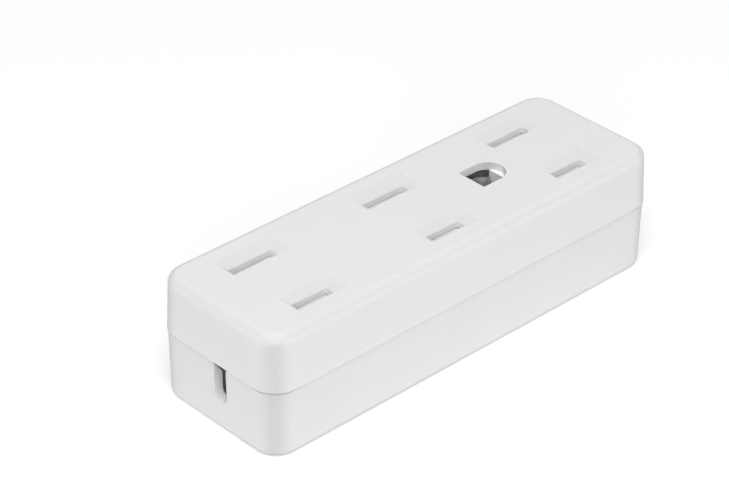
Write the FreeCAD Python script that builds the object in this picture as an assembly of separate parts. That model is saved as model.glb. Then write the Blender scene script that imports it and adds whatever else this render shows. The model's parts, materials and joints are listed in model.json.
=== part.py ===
"""Three-outlet power tap with surge protection: two moulded half shells, sprung
safety shutters, contact clips riveted on two bus strips, an earth circuit,
a screw terminal row, a cord clamp and a varistor with its thermal fuse.

Millimetres. +X runs along the case from the cord entry to the earthed outlet,
+Z is up, and the origin is the centre of the footprint on the table.
"""
import FreeCAD
import Part
import math
import os

QUARTER_TURN = 90

# Case, outside
LENGTH = 78.3
WIDTH = 25.5
COVER_HEIGHT = 9.1
SEAM_GAP = 0.1
CORNER_RADIUS = 4.1
COVER_DRAFT = math.radians(2.5)
CASE_DRAFT = math.radians(0.9)
TOP_ROUNDING = 1.45
BASE_ROUNDING = 1.0
RIM_BEAD = 0.08
RIM_BEAD_HEIGHT = 1.0
RIM_STEP = 0.15
CORNER_GAP = 0.25
CORNER_GAP_RUN = 2.9

# Case, walls and the lip that joins the halves
WALL = 1.5
TOP_WALL = 1.3
FLOOR = 1.5
LIP_THICKNESS = 0.65
LIP_HEIGHT = 1.2
LIP_CLEARANCE = 0.1

# Plug that the outlets take
OUTLET_COUNT = 3
END_ALLOWANCE = 0.3
BLADE_SPACING = 12.7
LIVE_BLADE_WIDTH = 6.35
NEUTRAL_BLADE_WIDTH = 7.9
BLADE_THICKNESS = 1.5
BLADE_LENGTH = 17.5
BLADE_TIP_CLEARANCE = 0.35
EARTH_PIN_DIAMETER = 4.75
EARTH_PIN_DISTANCE = 11.9

# Openings in the cover
SLOT_CLEARANCE = 0.1
LEAD_IN_DEPTH = 1.2
LEAD_IN_END = 1.25
LEAD_IN_SIDE = 1.3
LAND_THICKNESS = 2.2
LAND_MARGIN = 0.5
EARTH_PIN_CLEARANCE = 0.05
EARTH_HOLE_WIDTH = 5.4
EARTH_HOLE_LENGTH = 6.3
EARTH_STOP_OVERHANG = 0.7
EARTH_STOP_DEPTH = 5.0
EARTH_STOP_HALF = 1.7

# Ribs and fits
RIB = 0.8
SLIDE_CLEARANCE = 0.1
FIT_CLEARANCE = 0.05
SIDE_CLEARANCE = 0.15

# Shutters
SHUTTER_THICKNESS = 1.6
SHUTTER_WALL_CLEARANCE = 0.3
SHUTTER_EDGE = 0.8
SHUTTER_RAMP_DROP = 1.1
SHUTTER_END_MARGIN = 1.15
BLADE_WINDOW_MARGIN = 0.3
SPRING_WINDOW_WIDTH = 2.6
SPRING_WINDOW_LENGTH = 6.8
SPRING_WINDOW_EDGE = 0.8
SPRING_POST_THICKNESS = 1.0
SPRING_WIRE_DIAMETER = 0.2
SPRING_MEAN_DIAMETER = 1.3
SPRING_TURNS = 9

# Shutter frame
FRAME_THICKNESS = 0.8
FRAME_END_MARGIN = 1.0
FRAME_SIDE_CLEARANCE = 0.6
FRAME_WINDOW_MARGIN = 0.5
FRAME_SCREW_DIAMETER = 1.6
FRAME_SCREW_HEAD_DIAMETER = 3.0
FRAME_SCREW_HEAD_HEIGHT = 1.0
FRAME_SCREW_BITE = 2.3
FRAME_BOSS_DIAMETER = 3.8
FRAME_BOSS_CLEARANCE = 0.3
FRAME_PROP_LENGTH = 1.2

# Contact clips
CLIP_SHEET = 0.5
CLIP_BASE_GAP = 2.3
CLIP_PINCH_GAP = 1.2
CLIP_MOUTH_GAP = 2.7
CLIP_PAD_HEIGHT = 0.4
CLIP_MOUTH_DEPTH = 2.3
CLIP_LEAF_SLOPE = 3.3
CLIP_END_MARGIN = 0.3
CLIP_TAB_LENGTH = 4.6

# Bus strips
BUS_THICKNESS = 0.8
BUS_LIFT = 1.5
BUS_DEPTH = 5.0
BUS_END_MARGIN = 0.4
BUS_RIB_THICKNESS = 1.2
BUS_RIB_RISE = 1.4
BUS_RIB_INNER_LIP = 0.6
BUS_RIB_SPACE = 0.4
RIVET_DIAMETER = 1.9
RIVET_HEAD_DIAMETER = 3.4
RIVET_HEAD_THICKNESS = 0.5
RIVET_EDGE_MARGIN = 0.3

# Terminal row
TERMINAL_OFFSET = 7.0
TERMINAL_BOSS_CLEARANCE = 1.0
TERMINAL_SPACING = 5.6
TERMINAL_INNER_EDGE = 3.4
TERMINAL_POST_DIAMETER = 3.6
TERMINAL_LEAD_LEDGE = 1.2
TERMINAL_SCREW_DIAMETER = 2.5
TERMINAL_SCREW_HEAD_DIAMETER = 4.0
TERMINAL_SCREW_HEAD_HEIGHT = 1.6
TERMINAL_SCREW_LENGTH = 5.0
TERMINAL_WASHER_SIDE = 4.2
TERMINAL_WASHER_THICKNESS = 0.5
BARRIER_THICKNESS = 0.6
BARRIER_Y = 2.8
BARRIER_RISE = 3.2

# Earth circuit
EARTH_SHEET = 0.6
EARTH_STRIP_WIDTH = 3.2
EARTH_STRIP_LIFT = 0.1
EARTH_SLEEVE_GRIP = 0.03
EARTH_SLEEVE_FLARE = 0.5
EARTH_SLEEVE_FLARE_HEIGHT = 1.4
EARTH_SLEEVE_SLIT = 1.2
EARTH_SLEEVE_MOUTH_SLIT = 3.0
EARTH_SLEEVE_HEADROOM = 1.0
EARTH_FOOT_MARGIN = 0.3
EARTH_POCKET_FLOOR = 1.0

# Case screws
CASE_SCREW_SHUTTER_CLEARANCE = 0.4
CASE_SCREW_DIAMETER = 2.6
CASE_SCREW_HEAD_DIAMETER = 4.4
CASE_SCREW_HEAD_HEIGHT = 1.8
CASE_SCREW_BITE = 6.5
CASE_SCREW_TIP_SPACE = 0.75
CASE_SCREW_RECESS_DIAMETER = 4.8
CASE_SCREW_RECESS_DEPTH = 2.6
CASE_SCREW_HOLE_DIAMETER = 2.9
CASE_BOSS_DIAMETER = 5.2
CASE_BOSS_FOOT_DIAMETER = 6.8
CASE_BOSS_SEAT_THICKNESS = 1.4
CASE_BOSS_DROP = 2.2
DRIVE_WIDTH = 0.6
DRIVE_DEPTH = 0.8
DRIVE_SHARE = 0.62

# Cord entry and clamp
CORD_Y = -1.27
CORD_WIDTH = 2.5
CORD_HEIGHT = 5.6
NOTCH_CLEARANCE = 0.05
NOTCH_LIFT = 5.0
NOTCH_FLARE = 0.6
NOTCH_SLOPE_DROP = 2.4
NOTCH_SLOPE_REACH = 0.9
CLAMP_END_DISTANCE = 4.1
CLAMP_LENGTH = 3.6
CLAMP_SHEET = 0.7
CLAMP_BOSS_DIAMETER = 4.0
CLAMP_CROWN_RISE = 1.6
CLAMP_FOOT_LENGTH = 4.0
CLAMP_SCREW_DIAMETER = 2.2
CLAMP_SCREW_HEAD_DIAMETER = 3.4
CLAMP_SCREW_HEAD_HEIGHT = 1.3
CLAMP_SCREW_LENGTH = 5.0

# Surge parts
VARISTOR_OFFSET = 0.6
VARISTOR_LIFT = 1.9
VARISTOR_DIAMETER = 11.0
VARISTOR_THICKNESS = 4.0
VARISTOR_ROUNDING = 1.1
VARISTOR_POCKET_DEPTH = 4.6
VARISTOR_SEAT_OFFSET = 3.3
LEAD_DIAMETER = 0.6
LEAD_FACE_OFFSET = 1.2
LEAD_REACH = 1.1
FUSE_DIAMETER = 2.0
FUSE_LENGTH = 8.0
FUSE_ROUNDING = 0.25
FUSE_RISE = 1.6

# Places worked out from the sizes above
CLIP_BOTTOM = FLOOR + CLIP_PAD_HEIGHT + FIT_CLEARANCE
HEIGHT = CLIP_BOTTOM + CLIP_SHEET + BLADE_TIP_CLEARANCE + BLADE_LENGTH
SEAM_HEIGHT = HEIGHT - COVER_HEIGHT
OUTLET_PITCH = (LENGTH - END_ALLOWANCE) / OUTLET_COUNT
OUTLET_X = [OUTLET_PITCH * (i - (OUTLET_COUNT - 1) / 2) for i in range(OUTLET_COUNT)]
LANE_Y = BLADE_SPACING / 2
COVER_BOTTOM = SEAM_HEIGHT + SEAM_GAP
INNER_HALF_X = LENGTH / 2 - RIM_STEP - WALL
INNER_HALF_Y = WIDTH / 2 - RIM_STEP - WALL
COVER_CEILING = HEIGHT - TOP_WALL
SLOT_WIDTH = BLADE_THICKNESS + 2 * SLOT_CLEARANCE
SHUTTER_TOP = HEIGHT - LAND_THICKNESS - SLIDE_CLEARANCE
SHUTTER_BOTTOM = SHUTTER_TOP - SHUTTER_THICKNESS
SHUTTER_HALF_X = NEUTRAL_BLADE_WIDTH / 2 + SLOT_CLEARANCE + SHUTTER_END_MARGIN
SHUTTER_WALL_Y = INNER_HALF_Y - (SHUTTER_TOP - SEAM_HEIGHT) * math.tan(COVER_DRAFT)
SHUTTER_REACH_Y = LANE_Y + SLOT_WIDTH / 2 + SLOT_CLEARANCE + SHUTTER_EDGE
SHUTTER_TRAVEL = SHUTTER_WALL_Y - SHUTTER_WALL_CLEARANCE - SHUTTER_REACH_Y
FRAME_TOP = SHUTTER_BOTTOM - SLIDE_CLEARANCE
FRAME_BOTTOM = FRAME_TOP - FRAME_THICKNESS
EARTH_PIN_X = OUTLET_X[-1] - EARTH_PIN_DISTANCE
EARTH_HOLE_START = EARTH_PIN_X - EARTH_PIN_DIAMETER / 2 - EARTH_PIN_CLEARANCE
EARTH_HOLE_END = EARTH_HOLE_START + EARTH_HOLE_LENGTH
CLIP_TOP = FRAME_BOTTOM - FRAME_SCREW_HEAD_HEIGHT - SLIDE_CLEARANCE
CLIP_PINCH_HEIGHT = CLIP_TOP - CLIP_MOUTH_DEPTH
CLIP_SHOULDER_HEIGHT = CLIP_PINCH_HEIGHT - CLIP_LEAF_SLOPE
CLIP_OUTER_FACE = LANE_Y + CLIP_BASE_GAP / 2 + CLIP_SHEET
BUS_BOTTOM = FLOOR + BUS_LIFT
BUS_TOP = BUS_BOTTOM + BUS_DEPTH
BUS_START = OUTLET_X[0] + (LIVE_BLADE_WIDTH / 2 - CLIP_END_MARGIN)
CLIP_REACH = NEUTRAL_BLADE_WIDTH / 2 - CLIP_END_MARGIN
CLIP_TAB_END = CLIP_REACH + CLIP_TAB_LENGTH
RIVET_OFFSET = CLIP_TAB_END - RIVET_HEAD_DIAMETER / 2 - RIVET_EDGE_MARGIN
RIVET_HOLE_DIAMETER = RIVET_DIAMETER + 2 * FIT_CLEARANCE
RIVET_HEIGHT = BUS_BOTTOM + BUS_DEPTH / 2
BUS_END = OUTLET_X[-1] + CLIP_TAB_END + BUS_END_MARGIN
CASE_SCREW_OFFSET = SHUTTER_HALF_X + CASE_SCREW_SHUTTER_CLEARANCE + CASE_BOSS_DIAMETER / 2
CASE_SCREW_X = (OUTLET_X[0] + CASE_SCREW_OFFSET, OUTLET_X[-1] + CASE_SCREW_OFFSET)
TERMINAL_START = CASE_SCREW_X[0] + CASE_BOSS_FOOT_DIAMETER / 2 + TERMINAL_BOSS_CLEARANCE
TERMINAL_END = OUTLET_X[1] - TERMINAL_OFFSET
TERMINAL_X = (TERMINAL_START + TERMINAL_END) / 2
GUIDE_OUTER = SHUTTER_HALF_X + SIDE_CLEARANCE + RIB
FRAME_SCREW_X = (TERMINAL_X, OUTLET_X[1] + GUIDE_OUTER - RIB / 2 + FRAME_BOSS_DIAMETER / 2)
FRAME_END_X = OUTLET_X[-1] + SHUTTER_HALF_X + FRAME_END_MARGIN
EARTH_STRIP_BOTTOM = FLOOR + EARTH_STRIP_LIFT
CASE_BOSS_TOP = SEAM_HEIGHT - CASE_BOSS_DROP
CASE_SCREW_LENGTH = CASE_BOSS_TOP - CASE_SCREW_RECESS_DEPTH + CASE_SCREW_BITE
CASE_BOSS_FOOT_TOP = CASE_SCREW_RECESS_DEPTH + CASE_BOSS_SEAT_THICKNESS
NOTCH_BOTTOM = NOTCH_LIFT
CLAMP_X = -INNER_HALF_X + CLAMP_END_DISTANCE
CLAMP_BOSS_TOP = NOTCH_BOTTOM + CORD_HEIGHT - CLAMP_CROWN_RISE
NOTCH_HALF = CORD_WIDTH / 2 + NOTCH_CLEARANCE
CLAMP_SCREW_Y = NOTCH_HALF + CLAMP_SHEET + CLAMP_SCREW_HEAD_DIAMETER / 2 + SLIDE_CLEARANCE
EARTH_STOP_X = EARTH_HOLE_END - EARTH_STOP_OVERHANG
EARTH_POCKET_DIAMETER = EARTH_PIN_DIAMETER + 2 * SLIDE_CLEARANCE
EARTH_GRIP_RADIUS = EARTH_PIN_DIAMETER / 2 - EARTH_SLEEVE_GRIP
EARTH_SLEEVE_TOP = COVER_CEILING - EARTH_SLEEVE_HEADROOM
EARTH_WINDOW_HALF = EARTH_GRIP_RADIUS + CLIP_SHEET + FRAME_WINDOW_MARGIN
VARISTOR_X = OUTLET_X[1] + VARISTOR_OFFSET
VARISTOR_HEIGHT = FLOOR + VARISTOR_LIFT + VARISTOR_DIAMETER / 2
VARISTOR_POCKET_TOP = FLOOR + VARISTOR_LIFT + VARISTOR_POCKET_DEPTH
FUSE_HEIGHT = VARISTOR_HEIGHT + FUSE_RISE
FUSE_Y = -(VARISTOR_THICKNESS / 2 + FUSE_DIAMETER / 2 + FIT_CLEARANCE)


def vec(x, y, z):
    return FreeCAD.Vector(x, y, z)


def block(x0, x1, y0, y1, z0, z1):
    """Box between two opposite corners."""
    return Part.makeBox(x1 - x0, y1 - y0, z1 - z0, vec(x0, y0, z0))


def peg(x, y, z0, z1, diameter):
    """Upright round bar."""
    return Part.makeCylinder(diameter / 2, z1 - z0, vec(x, y, z0), vec(0, 0, 1))


def cross_bar(x, y0, y1, z, diameter):
    """Round bar across the case."""
    return Part.makeCylinder(diameter / 2, y1 - y0, vec(x, y0, z), vec(0, 1, 0))


def pad(x, y, half_x, half_y, z0, z1):
    """Box about an upright centre line."""
    return block(x - half_x, x + half_x, y - half_y, y + half_y, z0, z1)


def on_side(side, inner, outer):
    """Limits across the case of what lies between two distances on one side."""
    return sorted((side * inner, side * outer))


def fuse_all(shapes):
    """One solid from pieces that touch."""
    first = shapes[0]
    joined = first.multiFuse(shapes[1:]) if len(shapes) > 1 else first
    return joined.removeSplitter()


def prism_along_x(points, x0, x1):
    """Closed outline of (y, z) points, drawn out along the case."""
    corners = [vec(x0, y, z) for y, z in points]
    outline = Part.makePolygon(corners + [corners[0]])
    return Part.Face(outline).extrude(vec(x1 - x0, 0, 0))


def prism_along_y(points, y0, y1):
    """Closed outline of (x, z) points, drawn out across the case."""
    corners = [vec(x, y0, z) for x, z in points]
    outline = Part.makePolygon(corners + [corners[0]])
    return Part.Face(outline).extrude(vec(0, y1 - y0, 0))


def round_rect(half_x, half_y, radius, z):
    """Closed wire of four sides and four corner arcs."""
    edges = []
    ends = []
    for turn, (sign_x, sign_y) in enumerate(((1, 1), (-1, 1), (-1, -1), (1, -1))):
        centre = vec(sign_x * (half_x - radius), sign_y * (half_y - radius), z)
        start = turn * QUARTER_TURN
        arc = Part.makeCircle(radius, centre, vec(0, 0, 1), start, start + QUARTER_TURN)
        ends.append((arc.valueAt(arc.FirstParameter), arc.valueAt(arc.LastParameter), arc))
    for index, (_, last, arc) in enumerate(ends):
        following = ends[(index + 1) % len(ends)][0]
        edges.append(arc)
        edges.append(Part.makeLine(last, following))
    return Part.Wire(edges)


def round_block(half_x, half_y, radius, levels):
    """Upright block whose outline steps in by an inset at each height."""
    wires = [round_rect(half_x - inset, half_y - inset, radius - inset, z) for z, inset in levels]
    return Part.makeLoft(wires, True, True)


def round_edges_at(shape, height, radius):
    """Round the edges of the outline that lies at one height."""
    edges = []
    for edge in shape.Edges:
        if all(abs(vertex.Point.z - height) < 1e-6 for vertex in edge.Vertexes):
            edges.append(edge)
    return shape.makeFillet(radius, edges)


def wire_run(points, diameter):
    """Round wire through the points, with a ball at each turn."""
    pieces = []
    for start, end in zip(points, points[1:]):
        run = vec(*end) - vec(*start)
        pieces.append(Part.makeCylinder(diameter / 2, run.Length, vec(*start), run))
    for turn in points[1:-1]:
        pieces.append(Part.makeSphere(diameter / 2, vec(*turn)))
    return fuse_all(pieces)


def cross_drive(x, y, z, size, depth):
    """Cross-shaped driver recess, cut upwards from z."""
    reach = size * DRIVE_SHARE / 2
    along = pad(x, y, reach, DRIVE_WIDTH / 2, z, z + depth)
    across = pad(x, y, DRIVE_WIDTH / 2, reach, z, z + depth)
    return along.fuse(across)


def screw_down(x, y, seat, diameter, length, head_diameter, head_height):
    """Screw put in from above, its head standing on the seat height."""
    shank = peg(x, y, seat - length, seat, diameter)
    head = peg(x, y, seat, seat + head_height, head_diameter)
    top = seat + head_height
    drive = cross_drive(x, y, top - DRIVE_DEPTH, head_diameter, DRIVE_DEPTH)
    return shank.fuse(head).cut(drive)


def screw_up(x, y, seat, diameter, length, head_diameter, head_height):
    """Screw put in from below, its head hanging under the seat height."""
    shank = peg(x, y, seat, seat + length, diameter)
    head = peg(x, y, seat - head_height, seat, head_diameter)
    drive = cross_drive(x, y, seat - head_height, head_diameter, DRIVE_DEPTH)
    return shank.fuse(head).cut(drive)


def blade_sides():
    """The two blade lanes: side of the case, blade width."""
    return ((-1, LIVE_BLADE_WIDTH), (1, NEUTRAL_BLADE_WIDTH))


def inner_half_y(z):
    """Half the inside width at a height, between the drafted walls."""
    if z < SEAM_HEIGHT:
        return INNER_HALF_Y - (SEAM_HEIGHT - z) * math.tan(CASE_DRAFT)
    return INNER_HALF_Y - (z - SEAM_HEIGHT) * math.tan(COVER_DRAFT)


# Upper cover -----------------------------------------------------------------

def cover_outside():
    rise = HEIGHT - COVER_BOTTOM - RIM_BEAD_HEIGHT
    levels = (
        (COVER_BOTTOM, 0),
        (COVER_BOTTOM + RIM_BEAD_HEIGHT, RIM_BEAD),
        (HEIGHT, RIM_BEAD + rise * math.tan(COVER_DRAFT)),
    )
    body = round_block(LENGTH / 2, WIDTH / 2, CORNER_RADIUS, levels)
    return round_edges_at(body, HEIGHT, TOP_ROUNDING)


def cover_inside():
    inner_radius = CORNER_RADIUS - WALL
    levels = (
        (COVER_BOTTOM - WALL, 0),
        (COVER_BOTTOM, 0),
        (COVER_CEILING, (COVER_CEILING - COVER_BOTTOM) * math.tan(COVER_DRAFT)),
    )
    return round_block(INNER_HALF_X, INNER_HALF_Y, inner_radius, levels)


def cover_rebate():
    """Step inside the cover's rim, where the lower case's lip enters."""
    inset = RIM_STEP + WALL - LIP_THICKNESS - LIP_CLEARANCE
    top = SEAM_HEIGHT + LIP_HEIGHT + LIP_CLEARANCE
    levels = ((COVER_BOTTOM - WALL, 0), (top, 0))
    return round_block(LENGTH / 2 - inset, WIDTH / 2 - inset, CORNER_RADIUS - inset, levels)


def slot_land(x, side, blade_width):
    """Thicker ceiling round one slot."""
    half_x = blade_width / 2 + SLOT_CLEARANCE + LEAD_IN_END + LAND_MARGIN
    half_y = SLOT_WIDTH / 2 + LEAD_IN_SIDE + LAND_MARGIN
    return pad(x, side * LANE_Y, half_x, half_y, HEIGHT - LAND_THICKNESS, COVER_CEILING)


def slot_cut(x, side, blade_width):
    """Blade slot with its tapered lead-in."""
    half_x = blade_width / 2 + SLOT_CLEARANCE
    half_y = SLOT_WIDTH / 2
    y = side * LANE_Y
    slot = pad(x, y, half_x, half_y, COVER_CEILING - WALL, HEIGHT)
    wires = []
    for z, grow_x, grow_y in ((HEIGHT, LEAD_IN_END, LEAD_IN_SIDE), (HEIGHT - LEAD_IN_DEPTH, 0, 0)):
        reach_x = half_x + grow_x
        reach_y = half_y + grow_y
        corners = [
            vec(x - reach_x, y - reach_y, z),
            vec(x + reach_x, y - reach_y, z),
            vec(x + reach_x, y + reach_y, z),
            vec(x - reach_x, y + reach_y, z),
        ]
        wires.append(Part.makePolygon(corners + [corners[0]]))
    return slot.fuse(Part.makeLoft(wires, True, True))


def earth_hole_cut():
    """Earth-pin hole: straight at one end, round towards the blade slots."""
    half = EARTH_HOLE_WIDTH / 2
    centre_x = EARTH_HOLE_END - half
    straight = block(EARTH_HOLE_START, centre_x, -half, half, COVER_CEILING, HEIGHT)
    return straight.fuse(peg(centre_x, 0, COVER_CEILING, HEIGHT, EARTH_HOLE_WIDTH))


def shutter_guides(x):
    """Two ribs that the shutter slides between."""
    ribs = []
    half_y = inner_half_y(COVER_CEILING) + WALL / 2
    for side in (-1, 1):
        middle = x + side * (GUIDE_OUTER - RIB / 2)
        ribs.append(pad(middle, 0, RIB / 2, half_y, FRAME_TOP + FIT_CLEARANCE, COVER_CEILING))
    return ribs


def make_upper_cover():
    shell = cover_outside().cut(cover_inside()).cut(cover_rebate())
    ribs = []
    for x in OUTLET_X:
        ribs.extend(shutter_guides(x))
        ribs.extend(slot_land(x, side, width) for side, width in blade_sides())
    for x in FRAME_SCREW_X:
        ribs.append(peg(x, 0, FRAME_TOP + FIT_CLEARANCE, COVER_CEILING, FRAME_BOSS_DIAMETER))
    for x in CASE_SCREW_X:
        ribs.append(peg(x, 0, CASE_BOSS_TOP + SEAM_GAP, COVER_CEILING, CASE_BOSS_DIAMETER))
    stop_bottom = COVER_CEILING - EARTH_STOP_DEPTH
    ribs.append(block(EARTH_STOP_X, EARTH_STOP_X + RIB, -EARTH_STOP_HALF, EARTH_STOP_HALF,
                      stop_bottom, COVER_CEILING))
    cover = shell.multiFuse(ribs)
    holes = [slot_cut(x, side, width) for x in OUTLET_X for side, width in blade_sides()]
    holes.append(earth_hole_cut())
    for x in FRAME_SCREW_X:
        tip = FRAME_TOP + FRAME_SCREW_BITE
        holes.append(peg(x, 0, FRAME_BOTTOM, tip, FRAME_SCREW_DIAMETER + 2 * FIT_CLEARANCE))
    for x in CASE_SCREW_X:
        tip = CASE_SCREW_RECESS_DEPTH + CASE_SCREW_LENGTH + CASE_SCREW_TIP_SPACE
        holes.append(peg(x, 0, CASE_BOSS_TOP, tip, CASE_SCREW_DIAMETER + 2 * FIT_CLEARANCE))
    return cover.cut(holes).removeSplitter()


# Lower case ------------------------------------------------------------------

def case_outside():
    draft = SEAM_HEIGHT * math.tan(CASE_DRAFT)
    levels = ((0, draft), (SEAM_HEIGHT, 0))
    body = round_block(LENGTH / 2 - RIM_STEP, WIDTH / 2 - RIM_STEP, CORNER_RADIUS - RIM_STEP, levels)
    return round_edges_at(body, 0, BASE_ROUNDING)


def case_inside():
    inner_radius = CORNER_RADIUS - RIM_STEP - WALL
    levels = (
        (FLOOR, (SEAM_HEIGHT - FLOOR) * math.tan(CASE_DRAFT)),
        (SEAM_HEIGHT, 0),
        (SEAM_HEIGHT + LIP_HEIGHT, 0),
    )
    return round_block(INNER_HALF_X, INNER_HALF_Y, inner_radius, levels)


def case_lip():
    radius = CORNER_RADIUS - RIM_STEP - WALL + LIP_THICKNESS
    levels = ((SEAM_HEIGHT - LIP_HEIGHT, 0), (SEAM_HEIGHT + LIP_HEIGHT, 0))
    return round_block(INNER_HALF_X + LIP_THICKNESS, INNER_HALF_Y + LIP_THICKNESS, radius, levels)


def corner_gaps():
    """Thin wedges off the top of the wall that open the seam a little at each corner."""
    wedges = []
    radius = CORNER_RADIUS - RIM_STEP
    hinge = radius - CORNER_GAP_RUN
    far = radius + WALL
    low = SEAM_HEIGHT - CORNER_GAP * (far - hinge) / CORNER_GAP_RUN
    outline = ((hinge, SEAM_HEIGHT), (far, low), (far, SEAM_HEIGHT + WALL), (hinge, SEAM_HEIGHT + WALL))
    for turn, (sign_x, sign_y) in enumerate(((1, 1), (-1, 1), (-1, -1), (1, -1))):
        wedge = prism_along_y(outline, -2 * radius, 2 * radius)
        wedge.rotate(vec(0, 0, 0), vec(0, 0, 1), QUARTER_TURN * (turn + 1 / 2))
        wedge.translate(vec(sign_x * (LENGTH / 2 - CORNER_RADIUS), sign_y * (WIDTH / 2 - CORNER_RADIUS), 0))
        wedges.append(wedge)
    return wedges


def notch_slope_cut():
    """Inward slope on top of the wall beside the cord entry, where the cord turns down."""
    outer = -(LENGTH / 2 - RIM_STEP)
    inner = outer + WALL + SIDE_CLEARANCE
    low = SEAM_HEIGHT - NOTCH_SLOPE_DROP
    top = SEAM_HEIGHT + LIP_HEIGHT
    outline = ((outer, SEAM_HEIGHT), (inner, low), (inner, top), (outer, top))
    reach = NOTCH_HALF + NOTCH_SLOPE_REACH
    return prism_along_y(outline, CORD_Y - reach, CORD_Y + reach)


def notch_cut():
    """Cord entry: round at the foot, flared where it meets the seam."""
    low = NOTCH_BOTTOM + NOTCH_HALF
    turn = SEAM_HEIGHT - NOTCH_FLARE
    top = SEAM_HEIGHT + 2 * LIP_HEIGHT
    wide = NOTCH_HALF + NOTCH_FLARE
    bend = NOTCH_FLARE * (1 - math.sqrt(0.5))
    x = -LENGTH / 2

    def at(y, z):
        return vec(x, CORD_Y + y, z)

    def flare(side):
        middle = at(side * (NOTCH_HALF + bend), SEAM_HEIGHT - bend)
        return Part.Arc(at(side * NOTCH_HALF, turn), middle, at(side * wide, SEAM_HEIGHT)).toShape()

    edges = [
        Part.makeLine(at(-NOTCH_HALF, turn), at(-NOTCH_HALF, low)),
        Part.Arc(at(-NOTCH_HALF, low), at(0, NOTCH_BOTTOM), at(NOTCH_HALF, low)).toShape(),
        Part.makeLine(at(NOTCH_HALF, low), at(NOTCH_HALF, turn)),
        flare(1),
        Part.makeLine(at(wide, SEAM_HEIGHT), at(wide, top)),
        Part.makeLine(at(wide, top), at(-wide, top)),
        Part.makeLine(at(-wide, top), at(-wide, SEAM_HEIGHT)),
        flare(-1),
    ]
    depth = RIM_STEP + WALL + SIDE_CLEARANCE + SEAM_HEIGHT * math.tan(CASE_DRAFT)
    return Part.Face(Part.Wire(edges)).extrude(vec(depth, 0, 0))


def terminal_places():
    return [(TERMINAL_X, y) for y in (-TERMINAL_SPACING, 0, TERMINAL_SPACING)]


def clamp_screw_places():
    return [(CLAMP_X, CORD_Y + side * CLAMP_SCREW_Y) for side in (-1, 1)]


def case_bosses():
    """Screw posts for the case, the cord clamp and the terminal row."""
    posts = []
    for x in CASE_SCREW_X:
        posts.append(peg(x, 0, FLOOR / 2, CASE_BOSS_FOOT_TOP, CASE_BOSS_FOOT_DIAMETER))
        posts.append(peg(x, 0, FLOOR / 2, CASE_BOSS_TOP, CASE_BOSS_DIAMETER))
    for x, y in clamp_screw_places():
        posts.append(peg(x, y, FLOOR / 2, CLAMP_BOSS_TOP, CLAMP_BOSS_DIAMETER))
    post_top = BUS_TOP - BUS_THICKNESS - FIT_CLEARANCE
    for x, y in terminal_places():
        posts.append(peg(x, y, FLOOR / 2, post_top, TERMINAL_POST_DIAMETER))
    return posts


def case_boss_holes():
    holes = []
    for x in CASE_SCREW_X:
        holes.append(peg(x, 0, 0, CASE_SCREW_RECESS_DEPTH, CASE_SCREW_RECESS_DIAMETER))
        holes.append(peg(x, 0, 0, CASE_BOSS_TOP, CASE_SCREW_HOLE_DIAMETER))
    clamp_low = CLAMP_BOSS_TOP - CLAMP_SCREW_LENGTH
    for x, y in clamp_screw_places():
        holes.append(peg(x, y, clamp_low, CLAMP_BOSS_TOP, CLAMP_SCREW_DIAMETER + 2 * FIT_CLEARANCE))
    terminal_low = BUS_TOP - TERMINAL_SCREW_LENGTH
    for x, y in terminal_places():
        holes.append(peg(x, y, terminal_low, BUS_TOP, TERMINAL_SCREW_DIAMETER + 2 * FIT_CLEARANCE))
    holes.append(peg(EARTH_PIN_X, 0, EARTH_POCKET_FLOOR, FLOOR, EARTH_POCKET_DIAMETER))
    return holes


def bus_rib_places():
    """Near ends of the bus ribs: two in each gap between the outlets' clips."""
    places = []
    for before, after in zip(OUTLET_X, OUTLET_X[1:]):
        places.append(before + CLIP_TAB_END + BUS_RIB_SPACE)
        places.append(after - CLIP_REACH - BUS_RIB_SPACE - BUS_RIB_THICKNESS)
    return places


def bus_ribs():
    """Ribs off the side walls, each with a groove that carries a bus strip."""
    ribs = []
    grooves = []
    top = BUS_TOP + BUS_RIB_RISE
    groove_inner = CLIP_OUTER_FACE - FIT_CLEARANCE
    groove_outer = CLIP_OUTER_FACE + BUS_THICKNESS + FIT_CLEARANCE
    for x in bus_rib_places():
        far_x = x + BUS_RIB_THICKNESS
        for side in (-1, 1):
            low, high = on_side(side, CLIP_OUTER_FACE - BUS_RIB_INNER_LIP, INNER_HALF_Y + WALL / 2)
            ribs.append(block(x, far_x, low, high, FLOOR / 2, top))
            low, high = on_side(side, groove_inner, groove_outer)
            grooves.append(block(x, far_x, low, high, BUS_BOTTOM - FIT_CLEARANCE, top))
    return ribs, grooves


def clip_pads():
    """Low pads under the feet of the contact clips."""
    pads = []
    half_y = CLIP_BASE_GAP / 2 + CLIP_SHEET
    for x in OUTLET_X:
        for side, width in blade_sides():
            half_x = width / 2 - CLIP_END_MARGIN
            pads.append(pad(x, side * LANE_Y, half_x, half_y, FLOOR / 2, FLOOR + CLIP_PAD_HEIGHT))
    return pads


def terminal_barriers():
    """Insulating walls between the three terminals."""
    walls = []
    far_x = TERMINAL_END - TERMINAL_LEAD_LEDGE
    half = BARRIER_THICKNESS / 2
    for y in (-BARRIER_Y, BARRIER_Y):
        walls.append(block(TERMINAL_START, far_x, y - half, y + half, FLOOR / 2, BUS_TOP + BARRIER_RISE))
    return walls


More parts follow.
